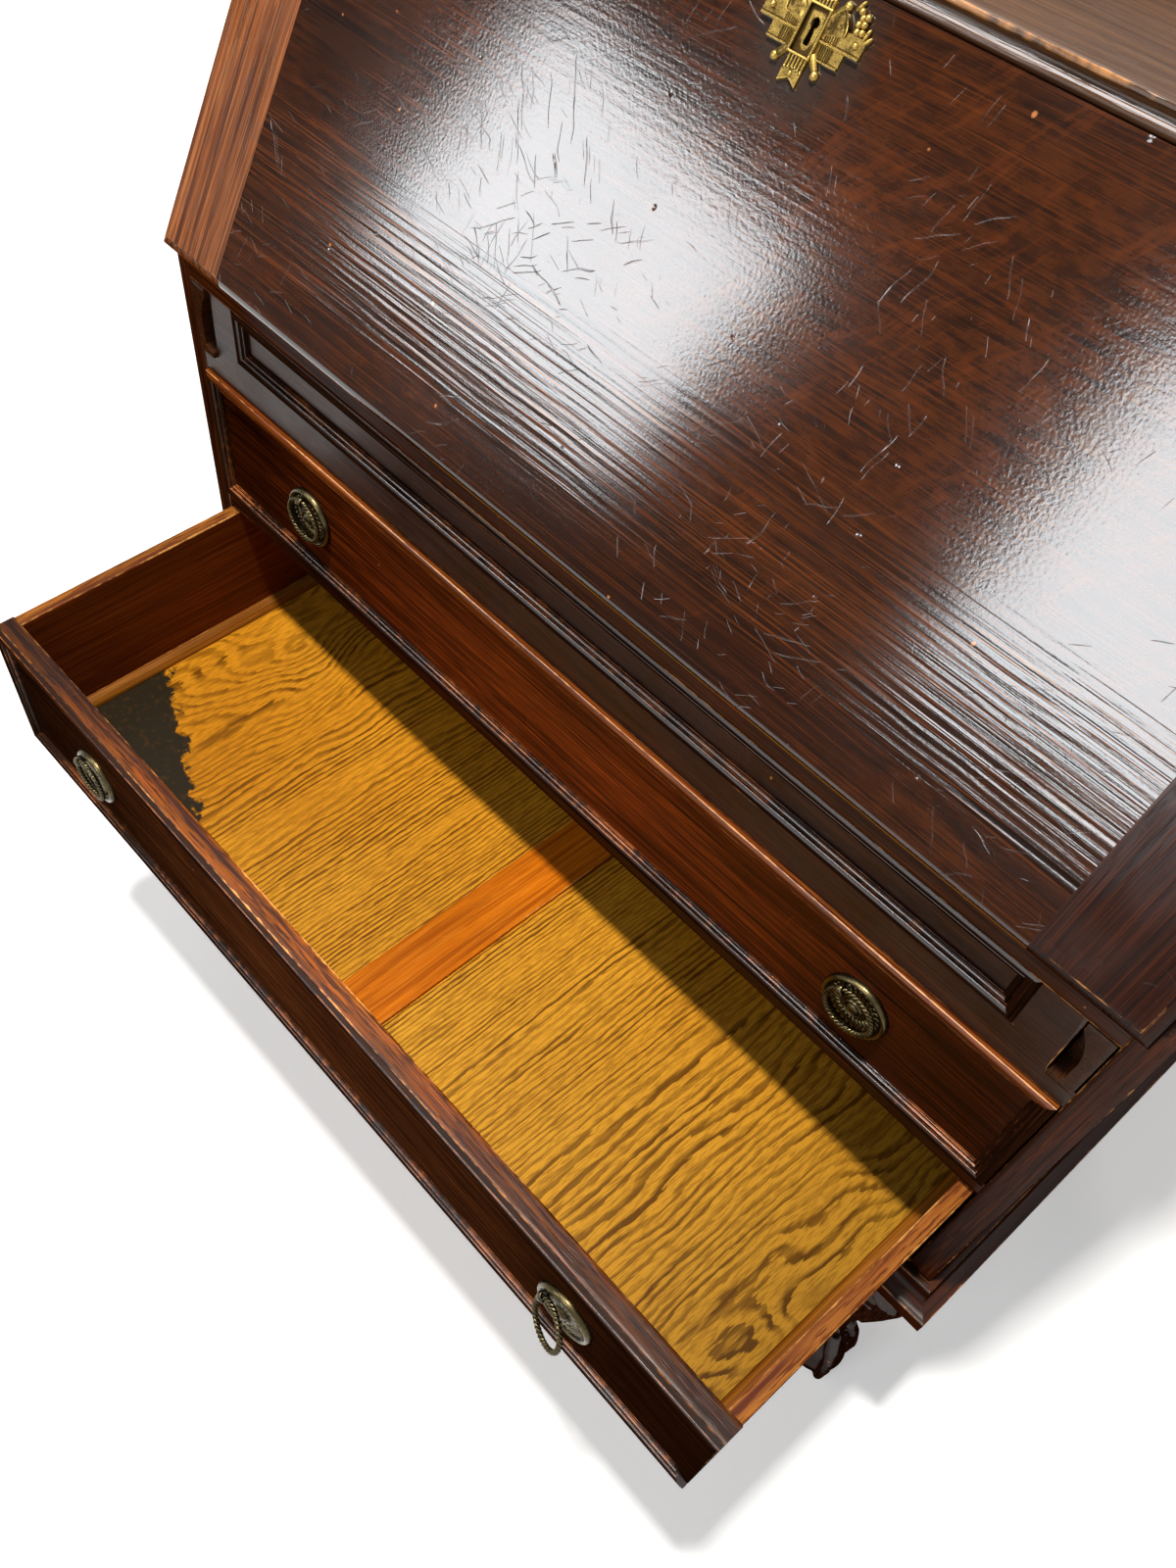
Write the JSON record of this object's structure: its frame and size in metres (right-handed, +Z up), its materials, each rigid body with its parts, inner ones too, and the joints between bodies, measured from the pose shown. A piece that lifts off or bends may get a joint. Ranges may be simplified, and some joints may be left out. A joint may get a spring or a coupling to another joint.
{
  "type": "drop-front bureau",
  "caption": "Dark oak writing bureau with a sloping hinged fall on pull-out lopers, long drawers with ring pulls and cabriole legs on ball-and-claw feet.",
  "frame": {"origin": "on the floor, under the middle of the box that the part fills with its lower drawer open as stored", "axes": "+Z up, +X to the right of someone facing the front, +Y towards the back"},
  "size_m": [0.874, 0.6798, 0.99],
  "materials": {
    "stained_oak": "dark stained, polished",
    "inner_wood": "plain sawn, thinly stained",
    "drawer_side_oak": "oiled",
    "drawer_bottom_wood": "clear, satin",
    "muntin_oak": "clear, satin",
    "brass": "old, dulled",
    "bronzed_brass": "dark patina"
  },
  "bodies": {
    "case": {"left_side": "stained_oak", "right_side": "stained_oak", "top_board": "stained_oak", "back_panel": "inner_wood", "case_bottom": "inner_wood", "drawer_divider": "stained_oak", "writing_bed": "stained_oak", "frieze_board": "stained_oak", "frieze_moulding_top": "stained_oak", "frieze_moulding_bottom": "stained_oak", "frieze_moulding_left": "stained_oak", "frieze_moulding_right": "stained_oak", "left_loper_guide": "inner_wood", "right_loper_guide": "inner_wood", "base_moulding_front": "stained_oak", "base_moulding_left": "stained_oak", "base_moulding_right": "stained_oak", "front_left_leg": "stained_oak", "front_right_leg": "stained_oak", "back_left_leg": "stained_oak", "back_right_leg": "stained_oak", "pigeonhole_shelf": "stained_oak", "pigeonhole_dividers": "stained_oak", "hinge_bed_leaves": "brass", "hinge_pins": "brass"},
    "fall": {"fall_panel": "stained_oak", "fall_left_clamp": "stained_oak", "fall_right_clamp": "stained_oak", "hinge_fall_leaves": "brass", "fall_escutcheon": "brass", "lock_case": "brass"},
    "lock_bolt": {"lock_bolt": "brass"},
    "left_loper": {"left_loper": "stained_oak"},
    "right_loper": {"right_loper": "stained_oak"},
    "upper_drawer": {"upper_drawer_front": "stained_oak", "upper_drawer_left_side": "drawer_side_oak", "upper_drawer_right_side": "drawer_side_oak", "upper_drawer_back": "drawer_side_oak", "upper_drawer_bottom": "drawer_bottom_wood", "upper_drawer_moulding_top": "stained_oak", "upper_drawer_moulding_bottom": "stained_oak", "upper_drawer_moulding_left": "stained_oak", "upper_drawer_moulding_right": "stained_oak", "upper_drawer_pull_plates": "bronzed_brass"},
    "lower_drawer": {"lower_drawer_front": "stained_oak", "lower_drawer_left_side": "drawer_side_oak", "lower_drawer_right_side": "drawer_side_oak", "lower_drawer_back": "drawer_side_oak", "lower_drawer_bottom_left": "drawer_bottom_wood", "lower_drawer_bottom_right": "drawer_bottom_wood", "lower_drawer_muntin": "muntin_oak", "lower_drawer_beads": "muntin_oak", "lower_drawer_moulding_top": "stained_oak", "lower_drawer_moulding_bottom": "stained_oak", "lower_drawer_moulding_left": "stained_oak", "lower_drawer_pull_plates": "bronzed_brass"},
    "upper_left_ring": {"upper_left_ring": "bronzed_brass"},
    "upper_right_ring": {"upper_right_ring": "bronzed_brass"},
    "lower_left_ring": {"lower_left_ring": "bronzed_brass"},
    "lower_right_ring": {"lower_right_ring": "bronzed_brass"}
  },
  "joints": [
    {"name": "fall_hinge", "type": "hinge", "parent": "case", "child": "fall", "pos_m": [0, -0.09305, 0.705], "axis": [1, 0, 0], "range_deg": [0, 120.5]},
    {"name": "bolt_slide", "type": "slide", "parent": "fall", "child": "lock_bolt", "axis": [0, 0.5075, 0.8616], "range_m": [0, 0.007]},
    {"name": "left_loper_slide", "type": "slide", "parent": "case", "child": "left_loper", "axis": [0, -1, 0], "range_m": [0, 0.24]},
    {"name": "right_loper_slide", "type": "slide", "parent": "case", "child": "right_loper", "axis": [0, -1, 0], "range_m": [0, 0.24]},
    {"name": "upper_drawer_slide", "type": "slide", "parent": "case", "child": "upper_drawer", "axis": [0, -1, 0], "range_m": [0, 0.3]},
    {"name": "lower_drawer_slide", "type": "slide", "parent": "case", "child": "lower_drawer", "axis": [0, -1, 0], "range_m": [-0.226, 0.074]},
    {"name": "upper_left_ring_swing", "type": "hinge", "parent": "upper_drawer", "child": "upper_left_ring", "pos_m": [-0.27922, -0.09635, 0.56321], "axis": [-0.9976, 0, -0.0698], "range_deg": [0, 95]},
    {"name": "upper_right_ring_swing", "type": "hinge", "parent": "upper_drawer", "child": "upper_right_ring", "pos_m": [0.26771, -0.09635, 0.55991], "axis": [-0.809, 0, -0.5878], "range_deg": [0, 95]},
    {"name": "lower_left_ring_swing", "type": "hinge", "parent": "lower_drawer", "child": "lower_left_ring", "pos_m": [-0.28925, -0.32235, 0.41691], "axis": [-0.766, 0, -0.6428], "range_deg": [0, 95]},
    {"name": "lower_right_ring_swing", "type": "hinge", "parent": "lower_drawer", "child": "lower_right_ring", "pos_m": [0.26316, -0.32235, 0.41277], "axis": [-0.5299, 0, -0.848], "range_deg": [-26, 69]}
  ]
}
